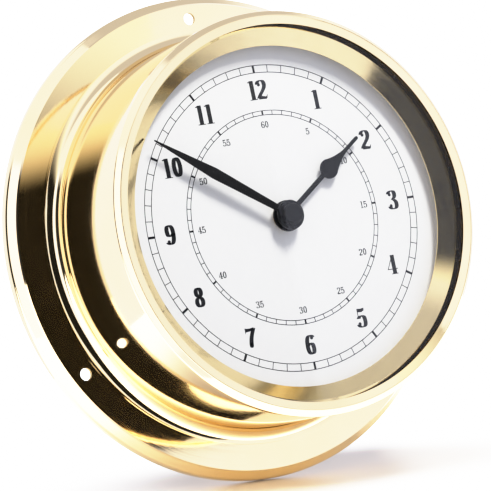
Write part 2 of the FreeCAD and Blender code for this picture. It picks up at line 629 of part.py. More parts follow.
def main():
    make_case()
    make_motion_work()
    make_train()
    make_housing()
    make_motor()
    make_circuit()
    make_battery()
    make_hands()
    make_knob()
    os.makedirs("parts", exist_ok=True)
    for name, shape in PARTS.items():
        solids = shape.Solids
        sound = all(s.isValid() and s.isClosed() and s.Volume > 0 for s in solids)
        print(f"{name:20s} solids {len(solids)} volume {shape.Volume:9.2f} {'ok' if sound else 'BAD'}")
        shape.exportStep(f"parts/{name}.step")


main()
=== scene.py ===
"""Looks for the brass ship's clock: turned brass, printed dial, finishes, studio light and camera."""

import math

import bpy
from mathutils import Matrix, Vector
from mathutils.geometry import tessellate_polygon


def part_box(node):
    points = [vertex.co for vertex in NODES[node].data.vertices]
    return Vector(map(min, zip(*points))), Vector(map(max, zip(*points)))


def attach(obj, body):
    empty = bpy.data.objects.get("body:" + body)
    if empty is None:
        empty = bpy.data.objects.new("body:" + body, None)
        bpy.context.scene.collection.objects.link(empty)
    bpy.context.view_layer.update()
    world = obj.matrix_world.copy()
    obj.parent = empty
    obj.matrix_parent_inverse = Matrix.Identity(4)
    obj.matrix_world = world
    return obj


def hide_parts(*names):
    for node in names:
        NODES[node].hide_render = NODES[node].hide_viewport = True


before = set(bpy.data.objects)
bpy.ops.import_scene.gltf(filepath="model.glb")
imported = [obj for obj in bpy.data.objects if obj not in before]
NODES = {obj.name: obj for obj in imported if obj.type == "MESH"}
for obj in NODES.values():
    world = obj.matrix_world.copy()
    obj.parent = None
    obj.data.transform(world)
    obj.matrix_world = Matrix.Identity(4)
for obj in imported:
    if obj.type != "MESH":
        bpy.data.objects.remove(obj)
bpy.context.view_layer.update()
MM = 0.001
TURN = 2 * math.pi
STEPS = 288
HOLE_SIDES = 32

# levels read from the CAD pieces, in millimetres
DIAL_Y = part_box("dial_plate")[0].y / MM
CREST_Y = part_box("bezel")[0].y / MM
WALL_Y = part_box("case_shell")[1].y / MM
FLANGE_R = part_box("case_shell")[1].x / MM

# the other sizes of the case, in millimetres, as in the part's source
SHEET = 1.0
RIM_EDGE_Y = 3.3
RIM_STEP_R = 60.2
FOOT_R = 53.6
FOOT_STEP = 0.4
FOOT_TOP_Y = -4.0
DRUM_R = 50.0
DRUM_FRONT_Y = -31.6
HOLE_CIRCLE_R = 56.6
HOLE_R = 1.55
HOLE_COUNT = 3
SPIGOT_R = 48.95
SPIGOT_BORE_R = 48.3
SPIGOT_END_Y = -28.6
BEZEL_R = 50.6
LIP_R = 47.1


def shown(name, data):
    """Puts a mesh, camera or light into the scene as a new object."""
    thing = bpy.data.objects.new(name, data)
    bpy.context.scene.collection.objects.link(thing)
    return thing


# ---- turned pieces ----
def line(a, b):
    along = Vector(b) - Vector(a)
    return [(Vector(a), along), (Vector(b), along)]


def lines(*points):
    return [line(a, b) for a, b in zip(points, points[1:])]


def arc(a, middle, b, steps=12):
    """Points and tangents along the circle through three points of radius and y."""
    a, middle, b = Vector(a), Vector(middle), Vector(b)
    chord, rise = b - a, middle - a
    cross = chord.x * rise.y - chord.y * rise.x
    square_b, square_m = chord.length_squared, rise.length_squared
    offset = Vector((rise.y * square_b - chord.y * square_m, chord.x * square_m - rise.x * square_b))
    centre = a + offset / (2 * cross)
    spoke = a - centre
    sweep = math.atan2(spoke.x * (b - centre).y - spoke.y * (b - centre).x, spoke.dot(b - centre))
    points = []
    for k in range(steps + 1):
        turn = sweep * k / steps
        arm = Matrix.Rotation(turn, 2) @ spoke
        points.append((centre + arm, Vector((-arm.y, arm.x)) * sweep))
    return points


def mirrored_offset(runs, depth):
    """The same runs moved sideways by a sheet's thickness and walked backwards."""
    back = []
    for run in reversed(runs):
        moved = [(p + Vector((-t.y, t.x)).normalized() * depth, -t) for p, t in reversed(run)]
        back.append(moved)
    for first, second in zip(back, back[1:]):
        joint = (first[-1][0] + second[0][0]) / 2
        first[-1] = (joint, first[-1][1])
        second[0] = (joint, second[0][1])
    return back


def closed(runs):
    """Adds the straight closing runs wherever two runs don't meet."""
    out = []
    for run, following in zip(runs, runs[1:] + runs[:1]):
        out.append(run)
        if (run[-1][0] - following[0][0]).length > 1e-6:
            out.append(line(run[-1][0], following[0][0]))
    return out


def around(radius, y, angle):
    return Vector((radius * math.sin(angle), y, radius * math.cos(angle)))


class Turning:
    """A mesh of rings round the Y axis, with a normal for every corner of every face."""

    def __init__(self):
        self.vertices, self.faces, self.normals = [], [], []

    def ring(self, radius, y, x=0.0, z=0.0, steps=STEPS):
        """Adds a ring of points and returns their numbers."""
        first = len(self.vertices)
        middle = Vector((x, 0, z))
        self.vertices += [middle + around(radius, y, TURN * j / steps) for j in range(steps)]
        return list(range(first, first + steps))

    def face(self, corners, corner_normals):
        """Adds a face, turned to look the way its normals point."""
        a, b, c = (self.vertices[v] for v in corners[:3])
        if (b - a).cross(c - a).dot(corner_normals[0]) < 0:
            corners, corner_normals = corners[::-1], corner_normals[::-1]
        self.faces.append(corners)
        self.normals += corner_normals

    def band(self, here, beyond, bend_here, bend_beyond):
        """The faces between two rings, from the profile's normals at both."""
        for j in range(STEPS):
            following = (j + 1) % STEPS
            now, later = TURN * j / STEPS, TURN * (j + 1) / STEPS
            corners = [here[j], beyond[j], beyond[following], here[following]]
            bends = ((bend_here, now), (bend_beyond, now), (bend_beyond, later), (bend_here, later))
            self.face(corners, [around(bend.x, bend.y, angle) for bend, angle in bends])

    def pierced(self, loops, facing):
        """A flat level between its first two loops, with the other loops cut out of it."""
        numbers = [v for loop in loops for v in loop]
        outlines = [[Vector((self.vertices[v].x, self.vertices[v].z, 0)) for v in loop] for loop in loops]
        for corners in tessellate_polygon(outlines):
            self.face([numbers[v] for v in corners], [facing] * 3)

    def hole_wall(self, x, z, front, back):
        """The wall of a hole between its two rims."""
        for j in range(HOLE_SIDES):
            following = (j + 1) % HOLE_SIDES
            corners = [front[j], front[following], back[following], back[j]]
            spots = [self.vertices[v] for v in corners]
            self.face(corners, [(Vector((x, spot.y, z)) - spot).normalized() for spot in spots])

    def finish(self, name):
        mesh = bpy.data.meshes.new(name)
        mesh.from_pydata([v * MM for v in self.vertices], [], self.faces)
        mesh.polygons.foreach_set("use_smooth", [True] * len(self.faces))
        mesh.normals_split_custom_set([n.normalized() for n in self.normals])
        mesh.update()
        return shown(name, mesh)


def turned(name, runs, pierced_levels=(), holes=()):
    """A closed profile of runs turned round the Y axis, pierced by round holes between two flat levels."""
    runs = closed(runs)
    area = sum(p.x * q.y - p.y * q.x for run in runs for (p, _), (q, _) in zip(run, run[1:]))
    side = 1 if area > 0 else -1
    turning = Turning()
    rings = [turning.ring(point.x, point.y) for run in runs for point, _ in run[:-1]]
    rims = {}
    stretches = [pair for run in runs for pair in zip(run, run[1:])]
    for stretch, here, beyond in zip(stretches, rings, rings[1:] + rings[:1]):
        (p, along_p), (q, along_q) = stretch
        bend_p, bend_q = (Vector((along.y, -along.x)).normalized() * side for along in (along_p, along_q))
        wide_and_flat = abs(p.y - q.y) < 1e-6 and abs(p.x - q.x) > 2
        if wide_and_flat and p.y in pierced_levels:
            rims[p.y] = [turning.ring(radius, p.y, x, z, HOLE_SIDES) for x, z, radius in holes]
            turning.pierced([here, beyond, *rims[p.y]], Vector((0, bend_p.y, 0)))
        else:
            turning.band(here, beyond, bend_p, bend_q)
    if rims:
        front_rims, back_rims = (rims[level] for level in sorted(rims))
        for (x, z, _), front, back in zip(holes, front_rims, back_rims):
            turning.hole_wall(x, z, front, back)
    return turning.finish(name)


def case_drum():
    """Rolled rim, flat flange with its holes, hollow foot and drum, all one sheet."""
    rim_front = (FLANGE_R, RIM_EDGE_Y)
    rim_slope = (61.9, 2.0)
    foot_edge = (FOOT_R - 0.05, -FOOT_STEP)
    foot_top = (DRUM_R, FOOT_TOP_Y)
    outer = [
        line((FLANGE_R, WALL_Y), rim_front),
        arc(rim_front, (62.32, 2.55), rim_slope),
        *lines(rim_slope, (60.5, 0.5), (RIM_STEP_R, 0), (FOOT_R, 0), foot_edge),
        arc(foot_edge, (51.05, -1.45), foot_top, 24),
        line(foot_top, (DRUM_R, DRUM_FRONT_Y)),
    ]
    inner = mirrored_offset(outer, -SHEET)
    # the sheet's back is flat behind the flange's flat face
    for run in inner:
        for k, (point, along) in enumerate(run):
            if FOOT_R - 0.8 < point.x < RIM_STEP_R - 0.2 and 0.3 < point.y < 1.2:
                run[k] = (Vector((point.x, SHEET)), along)
    angles = [TURN * k / HOLE_COUNT for k in range(HOLE_COUNT)]
    holes = [(HOLE_CIRCLE_R * math.sin(angle), HOLE_CIRCLE_R * math.cos(angle), HOLE_R) for angle in angles]
    return turned("case_drum", outer + inner, (0, SHEET), holes)


def bezel_ring():
    widest = (BEZEL_R, -33.5)
    shoulder = (50.35, -34.05)
    brow = (49.35, -35.05)
    hollow = (48.95, -35.16)
    spigot_end = (SPIGOT_BORE_R, SPIGOT_END_Y)
    return turned("bezel_ring", [
        *lines(spigot_end, (SPIGOT_R, SPIGOT_END_Y), (SPIGOT_R, DRUM_FRONT_Y), (50.15, DRUM_FRONT_Y)),
        *lines((50.15, DRUM_FRONT_Y), (BEZEL_R, -32.05), widest),
        arc(widest, (50.54, -33.8), shoulder),
        line(shoulder, brow),
        arc(brow, (49.17, CREST_Y), hollow),
        *lines(hollow, (LIP_R, -34.62), (47.2, -34.5), (SPIGOT_BORE_R, -34.5), spigot_end),
    ])


def reflector_cone():
    outer_r = 48.2
    front_y, back_y = -32.5, -31.8
    inner_front, inner_back = (42.7, -29.5), (43.15, -29.0)
    return turned("reflector_cone", [
        *lines((outer_r, front_y), (46.4, front_y), inner_front),
        arc(inner_front, (42.75, -29.1), inner_back),
        *lines(inner_back, (46.65, back_y), (outer_r, back_y), (outer_r, front_y)),
    ])


# ---- printed dial ----
INK_Y = DIAL_Y - 0.02
OUTER_TRACK = (36.65, 38.5)
INNER_TRACK = (25.9, 27.0)
HAIRLINE = 0.2
BOLD_OUTER, BOLD_INNER = 0.62, 0.5
# numerals: height in millimetres, then half-widths of strokes and the gap as shares of it
HOUR_CIRCLE_R = 32.3
HOUR_STYLE = {"size": 4.9, "thick": 0.12, "thin": 0.022, "gap": 0.03}
MINUTE_CIRCLE_R = 23.5
MINUTE_STYLE = {"size": 1.7, "thick": 0.085, "thin": 0.045, "gap": 0.08}
DIGIT_W = 0.58
ONE_W = 0.48


class Print:
    """Flat black marks on the dial, each a thin slab lying on it."""

    def __init__(self):
        self.vertices, self.faces = [], []

    def strip(self, left, right):
        """A ribbon between two rows of x and z points, closed as a slab."""
        start = len(self.vertices)
        for a, b in zip(left, right):
            for point, y in ((a, INK_Y), (b, INK_Y), (b, DIAL_Y), (a, DIAL_Y)):
                self.vertices.append(Vector((point[0], y, point[1])) * MM)
        for k in range(len(left) - 1):
            for side in range(4):
                a, b = start + 4 * k + side, start + 4 * k + (side + 1) % 4
                self.faces.append([a, b, b + 4, a + 4])
        last = start + 4 * (len(left) - 1)
        if Vector(left[0]) != Vector(left[-1]):
            self.faces.append([start + 3, start + 2, start + 1, start])
            self.faces.append([last, last + 1, last + 2, last + 3])

    def circle(self, radius, width):
        steps = 240
        rows = []
        for r in (radius - width / 2, radius + width / 2):
            row = [(r * math.sin(TURN * k / steps), r * math.cos(TURN * k / steps)) for k in range(steps)]
            rows.append(row + row[:1])
        self.strip(*rows)

    def tick(self, inner, outer, angle, width):
        along = Vector((math.sin(angle), math.cos(angle)))
        across = Vector((along.y, -along.x)) * width / 2
        ends = (along * inner, along * outer)
        self.strip([end - across for end in ends], [end + across for end in ends])

    def pen(self, path, thick, thin, place, size):
        """A stroke from a pen that is wide sideways and narrow upwards, along a row of curve points."""
        left, right = [], []
        for k, point in enumerate(path):
            before, after = path[max(k - 1, 0)], path[min(k + 1, len(path) - 1)]
            if path[0] == path[-1] and k in (0, len(path) - 1):
                before, after = path[-2], path[1]
            normal = Vector((before[1] - after[1], after[0] - before[0])).normalized()
            reach = Vector((thick ** 2 * normal.x, thin ** 2 * normal.y))
            reach /= math.hypot(thick * normal.x, thin * normal.y)
            left.append(place + (Vector(point) + reach) * size)
            right.append(place + (Vector(point) - reach) * size)
        self.strip(left, right)

    def ball(self, centre, radius, place, size):
        middle = place + Vector(centre) * size
        steps = 12
        heights = [-math.cos(math.pi * k / steps) for k in range(steps + 1)]
        widths = [math.sin(math.pi * k / steps) for k in range(steps + 1)]
        grown = radius * size
        self.strip(
            [middle + Vector((-w, h)) * grown for w, h in zip(widths, heights)],
            [middle + Vector((w, h)) * grown for w, h in zip(widths, heights)],
        )

    def wedge(self, left, right, place, size):
        self.strip([place + Vector(p) * size for p in left], [place + Vector(p) * size for p in right])

    def finish(self, name):
        mesh = bpy.data.meshes.new(name)
        mesh.from_pydata(self.vertices, [], self.faces)
        mesh.update()
        return shown(name, mesh)


def curve(*points, steps=8):
    """A chain of cubic curves: a start, then two handles and an end for each curve."""
    out = [tuple(points[0])]
    for k in range(1, len(points), 3):
        a, b, c, d = (Vector(p) for p in points[k - 1:k + 3])
        for step in range(1, steps + 1):
            t = step / steps
            spot = a * (1 - t) ** 3 + 3 * b * t * (1 - t) ** 2 + 3 * c * t ** 2 * (1 - t) + d * t ** 3
            out.append(tuple(spot))
    return out


def oval(x, y, half_width, half_height, steps=32):
    angles = [TURN * k / steps for k in range(steps)]
    out = [(x + half_width * math.sin(angle), y + half_height * math.cos(angle)) for angle in angles]
    return out + out[:1]


def draw_digit(ink, digit, place, size, thick, thin):
    """One numeral, one unit high before scaling: upright stems thick, level strokes thin."""
    right = DIGIT_W - thick
    top = 1 - thin
    blob = 0.055 + thick * 0.3

    def pen(path):
        ink.pen(path, thick, thin, place, size)

    def hair(path):
        ink.pen(path, thin, thin, place, size)

    def ball(x, y, radius=blob):
        ink.ball((x, y), radius, place, size)

    def wedge(left_side, right_side):
        ink.wedge(left_side, right_side, place, size)

    if digit == "0":
        pen(oval(0.29, 0.5, 0.29 - thick, 0.5 - thin))
    elif digit == "1":
        wedge([(0.24 - thick, 0), (0.24 - thick, 1)], [(0.24 + thick, 0), (0.24 + thick, 1)])
        wedge([(0.02, 0), (0.02, 2 * thin)], [(0.46, 0), (0.46, 2 * thin)])
        wedge([(0.02, 0.90), (0.02, 0.90 + 2 * thin)], [(0.24, 0.90), (0.24, 1)])
    elif digit == "2":
        ball(0.05 + blob, 0.76)
        pen(curve((0.06, 0.78), (0.08, 0.94), (0.18, top), (0.28, top), (0.4, top), (right, 0.9),
                  (right, 0.74), (right, 0.56), (0.3, 0.42), (0.16, 0.26), (0.1, 0.19), (0.06, 0.12),
                  (0.04, 0.06)))
        wedge([(0.03, 0), (0.12, 0), (0.3, 0), (0.46, -0.01), (0.53, 0.06), (0.56, 0.22)],
              [(0.03, 0.10), (0.14, 0.19), (0.3, 0.16), (0.44, 0.13), (0.5, 0.15), (0.53, 0.22)])
    elif digit == "3":
        ball(0.04 + blob, 0.79)
        ball(0.02 + blob, 0.2)
        pen(curve((0.06, 0.82), (0.08, 0.94), (0.18, top), (0.27, top), (0.4, top), (right - 0.03, 0.9),
                  (right - 0.03, 0.76), (right - 0.03, 0.62), (0.34, 0.53), (0.2, 0.53)))
        pen(curve((0.2, 0.53), (0.36, 0.53), (right, 0.44), (right, 0.27), (right, 0.1), (0.4, thin),
                  (0.27, thin), (0.16, thin), (0.06, 0.06), (0.04, 0.18)))
    elif digit == "4":
        wedge([(0.4 - thick, 0.02), (0.4 - thick, 1)], [(0.4 + thick, 0.02), (0.4 + thick, 1)])
        wedge([(0.2, 0), (0.2, 2 * thin)], [(0.6, 0), (0.6, 2 * thin)])
        wedge([(0.0, 0.25), (0.0, 0.25 + 2 * thin)], [(0.62, 0.25), (0.62, 0.25 + 2 * thin)])
        hair([(0.4, 0.98), (0.02, 0.27)])
    elif digit == "5":
        wedge([(0.08, 1), (0.2, 0.98), (0.32, 0.97), (0.5, 1)],
              [(0.08, 0.8), (0.2, 0.8), (0.34, 0.79), (0.48, 0.86)])
        hair([(0.09, 0.98), (0.09, 0.46)])
        ball(0.02 + blob, 0.2)
        pen(curve((0.09, 0.47), (0.14, 0.58), (0.22, 0.61), (0.29, 0.61), (0.42, 0.61), (right, 0.5),
                  (right, 0.31), (right, 0.12), (0.4, thin), (0.27, thin), (0.16, thin), (0.06, 0.06),
                  (0.04, 0.18)))
    elif digit in "69":
        bowl = curve((0.5, 0.86), (0.47, 0.95), (0.4, top), (0.34, top), (0.18, top), (thick, 0.72),
                     (thick, 0.4), (thick, 0.14), (0.2, thin), (0.3, thin), (0.42, thin), (right, 0.12),
                     (right, 0.3), (right, 0.48), (0.42, 0.58), (0.32, 0.58), (0.24, 0.58), (0.17, 0.52),
                     (0.14, 0.44))
        spots = [*bowl, (DIGIT_W - 0.05 - blob, 0.84)]
        if digit == "9":
            spots = [(DIGIT_W - x, 1 - y) for x, y in spots]
        pen(spots[:-1])
        ball(*spots[-1])
    elif digit == "7":
        wedge([(0.03, 1), (0.14, 0.97), (0.32, 0.96), (0.46, 0.98), (0.57, 1)],
              [(0.03, 0.7), (0.08, 0.79), (0.3, 0.81), (0.46, 0.84), (0.55, 0.97)])
        pen(curve((0.54, 0.95), (0.44, 0.72), (0.28, 0.5), (0.26, 0.12)))
        ball(0.26, 0.1, thick * 0.98)
    elif digit == "8":
        pen(oval(0.29, 0.75, 0.25 - thick * 0.9, 0.25 - thin))
        pen(oval(0.29, 0.265, 0.29 - thick, 0.265 - thin))


def draw_number(ink, text, centre, size, thick, thin, gap):
    widths = [ONE_W if digit == "1" else DIGIT_W for digit in text]
    total = sum(widths) + gap * (len(text) - 1)
    pen_x = -total / 2
    for digit, width in zip(text, widths):
        place = centre + Vector((pen_x, -0.5)) * size
        draw_digit(ink, digit, place, size, thick, thin)
        pen_x += width + gap


def dial_print():
    ink = Print()
    for radius in OUTER_TRACK + INNER_TRACK:
        ink.circle(radius, HAIRLINE)
    for minute in range(60):
        angle = TURN * minute / 60
        bold = minute % 5 == 0
        ink.tick(*OUTER_TRACK, angle, BOLD_OUTER if bold else HAIRLINE)
        ink.tick(*INNER_TRACK, angle, BOLD_INNER if bold else HAIRLINE)
    for hour in range(1, 13):
        angle = TURN * hour / 12
        along = Vector((math.sin(angle), math.cos(angle)))
        draw_number(ink, str(hour), along * HOUR_CIRCLE_R, **HOUR_STYLE)
        draw_number(ink, str(hour * 5), along * MINUTE_CIRCLE_R, **MINUTE_STYLE)
    return ink.finish("dial_print")


# ---- finishes ----
# the middle of a noise's span, where nearly all its values lie
NOISE_SPAN = (0.3, 0.7)
# radius in metres of the small circle that the grain of turned brass follows in one turn
RING_DRIFT = 0.0012


def new_material(name):
    material = bpy.data.materials.new(name)
    material.use_nodes = True
    tree = material.node_tree
    return tree, tree.nodes["Principled BSDF"], material


def add(tree, kind, **values):
    node = tree.nodes.new(kind)
    for key, value in values.items():
        setattr(node, key, value)
    return node


def grain(tree, scale, stretch=(1, 1, 1), detail=4.0):
    place = add(tree, "ShaderNodeTexCoord")
    mapping = add(tree, "ShaderNodeMapping")
    mapping.inputs["Scale"].default_value = stretch
    noise = add(tree, "ShaderNodeTexNoise")
    noise.inputs["Scale"].default_value = scale
    noise.inputs["Detail"].default_value = detail
    tree.links.new(place.outputs["Object"], mapping.inputs[0])
    tree.links.new(mapping.outputs[0], noise.inputs["Vector"])
    return noise.outputs[0]


def polar(tree):
    """Radius, y and angle as a vector, so that noise runs in rings round the axis."""
    place = add(tree, "ShaderNodeTexCoord")
    split = add(tree, "ShaderNodeSeparateXYZ")
    tree.links.new(place.outputs["Object"], split.inputs[0])
    flat = add(tree, "ShaderNodeCombineXYZ")
    tree.links.new(split.outputs[0], flat.inputs[0])
    tree.links.new(split.outputs[2], flat.inputs[2])
    length = add(tree, "ShaderNodeVectorMath", operation="LENGTH")
    tree.links.new(flat.outputs[0], length.inputs[0])
    unit = add(tree, "ShaderNodeVectorMath", operation="NORMALIZE")
    tree.links.new(flat.outputs[0], unit.inputs[0])
    rings = add(tree, "ShaderNodeCombineXYZ")
    tree.links.new(length.outputs["Value"], rings.inputs[0])
    tree.links.new(split.outputs[1], rings.inputs[1])
    slow = add(tree, "ShaderNodeVectorMath", operation="SCALE")
    slow.inputs["Scale"].default_value = RING_DRIFT
    tree.links.new(unit.outputs[0], slow.inputs[0])
    total = add(tree, "ShaderNodeVectorMath", operation="ADD")
    tree.links.new(rings.outputs[0], total.inputs[0])
    tree.links.new(slow.outputs[0], total.inputs[1])
    return total.outputs[0]


def mapped(tree, source, source_span, result_span, **values):
    """Carries one span of values over to another."""
    node = add(tree, "ShaderNodeMapRange", **values)
    limits = zip(("From Min", "From Max", "To Min", "To Max"), (*source_span, *result_span))
    for socket, limit in limits:
        node.inputs[socket].default_value = limit
    tree.links.new(source, node.inputs["Value"])
    return node.outputs["Result"]


def reckoned(tree, operation, first, second):
    """One sum on two sockets, or on a socket and a number."""
    node = add(tree, "ShaderNodeMath", operation=operation)
    tree.links.new(first, node.inputs[0])
    if isinstance(second, (int, float)):
        node.inputs[1].default_value = second
    else:
        tree.links.new(second, node.inputs[1])
    return node.outputs[0]


def tint(tree, source, dark, light):
    ramp = add(tree, "ShaderNodeValToRGB")
    for element, position, colour in zip(ramp.color_ramp.elements, NOISE_SPAN, (dark, light)):
        element.position = position
        element.color = (*colour, 1)
    tree.links.new(source, ramp.inputs[0])
    return ramp.outputs[0]


def relief(tree, source, shader, depth, distance=0.0001):
    bump = add(tree, "ShaderNodeBump")
    bump.inputs["Strength"].default_value = depth
    bump.inputs["Distance"].default_value = distance
    tree.links.new(source, bump.inputs["Height"])
    tree.links.new(bump.outputs[0], shader.inputs["Normal"])


def turned_brass(name, dark, light, rough):
    """Lacquered brass with faint polishing lines that run round it."""
    tree, shader, material = new_material(name)
    shader.inputs["Metallic"].default_value = 1.0
    grooves = add(tree, "ShaderNodeTexNoise")
    grooves.inputs["Scale"].default_value = 2200
    grooves.inputs["Detail"].default_value = 3
    tree.links.new(polar(tree), grooves.inputs["Vector"])
    clouds = grain(tree, 45, detail=2)
    tree.links.new(tint(tree, clouds, dark, light), shader.inputs["Base Color"])
    tree.links.new(mapped(tree, grooves.outputs[0], NOISE_SPAN, rough), shader.inputs["Roughness"])
    relief(tree, grooves.outputs[0], shader, depth=0.05, distance=0.00002)
    return material


def finish(name, dark, light, rough, metallic=0.0, scale=400, stretch=(1, 1, 1), depth=0.1, **extra):
    """A plain finish whose colour, gloss and relief vary with one fine grain."""
    tree, shader, material = new_material(name)
    shader.inputs["Metallic"].default_value = metallic
    for socket, value in extra.items():
        shader.inputs[socket.replace("_", " ")].default_value = value
    fine = grain(tree, scale, stretch)
    tree.links.new(tint(tree, fine, dark, light), shader.inputs["Base Color"])
    tree.links.new(mapped(tree, fine, NOISE_SPAN, rough), shader.inputs["Roughness"])
    relief(tree, fine, shader, depth)
    return material


def clear_glass():
    """Thin glass that doesn't bend light: seen through, with a share reflected that grows with the slant."""
    head_on, edge_on, growth = 0.021, 0.9, 5.0
    tree, shader, material = new_material("clear_glass")
    tree.nodes.remove(shader)
    clear = add(tree, "ShaderNodeBsdfTransparent")
    shine = add(tree, "ShaderNodeBsdfGlossy")
    smears = grain(tree, 60, detail=1)
    tree.links.new(mapped(tree, smears, NOISE_SPAN, (0.0, 0.012)), shine.inputs["Roughness"])
    # the slant is alike on both faces of the glass
    slant = add(tree, "ShaderNodeLayerWeight")
    slant.inputs["Blend"].default_value = 0.5
    power = reckoned(tree, "POWER", slant.outputs["Facing"], growth)
    mix = add(tree, "ShaderNodeMixShader")
    tree.links.new(mapped(tree, power, (0, 1), (head_on, edge_on)), mix.inputs[0])
    tree.links.new(clear.outputs[0], mix.inputs[1])
    tree.links.new(shine.outputs[0], mix.inputs[2])
    tree.links.new(mix.outputs[0], tree.nodes["Material Output"].inputs[0])
    return material


def battery_wrap():
    """A printed sleeve with a coloured end band, and bare metal at both ends."""
    tree, shader, material = new_material("battery_sleeve")
    place = add(tree, "ShaderNodeTexCoord")
    split = add(tree, "ShaderNodeSeparateXYZ")
    tree.links.new(place.outputs["Object"], split.inputs[0])
    bands = add(tree, "ShaderNodeValToRGB")
    bands.color_ramp.interpolation = "CONSTANT"
    bare, sleeve, band = (0.62, 0.62, 0.6), (0.035, 0.04, 0.05), (0.72, 0.42, 0.12)
    stops = [(0.0, bare), (0.07, sleeve), (0.7, band), (0.93, bare)]
    while len(bands.color_ramp.elements) < len(stops):
        bands.color_ramp.elements.new(0.5)
    for element, (position, colour) in zip(bands.color_ramp.elements, stops):
        element.position = position
        element.color = (*colour, 1)
    low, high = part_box("battery")
    tree.links.new(mapped(tree, split.outputs[0], (low.x, high.x), (0, 1)), bands.inputs[0])
    tree.links.new(bands.outputs[0], shader.inputs["Base Color"])
    shader.inputs["Metallic"].default_value = 0.35
    fine = grain(tree, 500)
    tree.links.new(mapped(tree, fine, NOISE_SPAN, (0.22, 0.34)), shader.inputs["Roughness"])
    relief(tree, fine, shader, depth=0.03)
    return material


def give(nodes, material):
    """Gives CAD pieces, named with spaces between, one finish."""
    for node in nodes.split():
        mesh = NODES[node].data
        mesh.materials.clear()
        mesh.materials.append(material)


# ---- which piece gets which finish ----
def replace(node, piece, material):
    """A turned piece takes the place of its CAD node."""
    piece.data.materials.append(material)
    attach(piece, "case")
    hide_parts(node)


def dress_case():
    polished = turned_brass("polished_brass", (0.95, 0.748, 0.42), (0.98, 0.778, 0.46), (0.035, 0.085))
    duller = turned_brass("reflector_brass", (0.84, 0.66, 0.33), (0.87, 0.69, 0.36), (0.07, 0.12))
    drilled = finish("drilled_brass", (0.62, 0.44, 0.17), (0.74, 0.54, 0.23), (0.45, 0.6),
                     metallic=0.5, scale=900)
    drum = case_drum()
    replace("case_shell", drum, polished)
    drum.data.materials.append(drilled)
    # the walls of the holes are the drum's last faces
    for face in list(drum.data.polygons)[-HOLE_SIDES * HOLE_COUNT:]:
        face.material_index = 1
    replace("bezel", bezel_ring(), polished)
    replace("reflector_ring", reflector_cone(), duller)


def dress_dial_print():
    ink = dial_print()
    ink.data.materials.append(
        finish("printing_ink", (0.004, 0.004, 0.005), (0.009, 0.009, 0.01), (0.4, 0.55),
               scale=900, Specular_IOR_Level=0.2))
    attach(ink, "case")


def dress_front():
    give("glass", clear_glass())
    give("dial_plate",
         finish("dial_enamel", (0.85, 0.843, 0.8), (0.88, 0.873, 0.827), (0.38, 0.5),
                scale=700, depth=0.02))
    give("hour_hand minute_hand hand_cap",
         finish("black_lacquer", (0.002, 0.002, 0.002), (0.005, 0.005, 0.005), (0.3, 0.45),
                scale=700, depth=0.04, Specular_IOR_Level=0.12))
    give("spacer_ring",
         finish("white_spacer", (0.78, 0.78, 0.77), (0.84, 0.84, 0.83), (0.4, 0.55)))
    give("glass_gasket",
         finish("gasket_rubber", (0.02, 0.02, 0.02), (0.04, 0.04, 0.04), (0.6, 0.8)))
    give("dial_seat_ring",
         finish("seat_plastic", (0.72, 0.72, 0.7), (0.8, 0.8, 0.78), (0.4, 0.55)))


def dress_movement():
    give("movement_base movement_cover coil_bobbin",
         finish("moulded_plastic", (0.014, 0.014, 0.015), (0.03, 0.03, 0.031), (0.35, 0.6),
                scale=900, depth=0.25))
    give("train_bridge hour_wheel minute_wheel third_wheel seconds_wheel intermediate_wheel "
         "rotor_pinion centre_wheel",
         finish("acetal", (0.74, 0.73, 0.69), (0.82, 0.81, 0.78), (0.3, 0.45)))
    give("centre_arbor centre_bush clutch_spring",
         finish("plain_brass", (0.72, 0.5, 0.2), (0.82, 0.6, 0.27), (0.22, 0.36),
                metallic=1.0, scale=300, stretch=(1, 12, 1)))
    give("bridge_screws dial_feet movement_screws stator_screws",
         finish("zinc_steel", (0.55, 0.55, 0.56), (0.68, 0.68, 0.69), (0.22, 0.4),
                metallic=1.0, scale=500))


def dress_electrics():
    give("rotor_magnet",
         finish("magnet_grey", (0.1, 0.1, 0.11), (0.16, 0.16, 0.17), (0.35, 0.5), metallic=0.8))
    give("stator coil_core",
         finish("core_iron", (0.42, 0.42, 0.44), (0.55, 0.55, 0.57), (0.3, 0.45),
                metallic=1.0, scale=600, stretch=(1, 30, 1)))
    give("coil_winding",
         finish("copper_wire", (0.5, 0.18, 0.07), (0.75, 0.33, 0.14), (0.25, 0.4),
                metallic=1.0, scale=250, stretch=(40, 1, 1), depth=0.5))
    give("circuit_board",
         finish("board_green", (0.02, 0.12, 0.05), (0.04, 0.2, 0.09), (0.3, 0.45), scale=200))
    give("control_chip",
         finish("chip_resin", (0.012, 0.012, 0.013), (0.03, 0.03, 0.03), (0.3, 0.5)))
    give("quartz_crystal",
         finish("crystal_can", (0.6, 0.6, 0.6), (0.74, 0.74, 0.74), (0.15, 0.28), metallic=1.0))
    give("setting_knob",
         finish("red_knob", (0.5, 0.02, 0.015), (0.6, 0.035, 0.025), (0.3, 0.45), scale=600))
    give("battery", battery_wrap())
    give("negative_contact positive_contact",
         finish("nickel_spring", (0.6, 0.58, 0.52), (0.72, 0.7, 0.64), (0.18, 0.3),
                metallic=1.0, scale=500, stretch=(1, 20, 1)))


# ---- studio ----
ROOM_LEVEL = 1.38
ROOM_TINT = (0.96, 0.985, 1.16, 1)
ROOM_SHARE_IN_SHADOWS = 0.4
BACKGROUND_LEVEL = 4.0
FLAG_LEVEL = 0.012
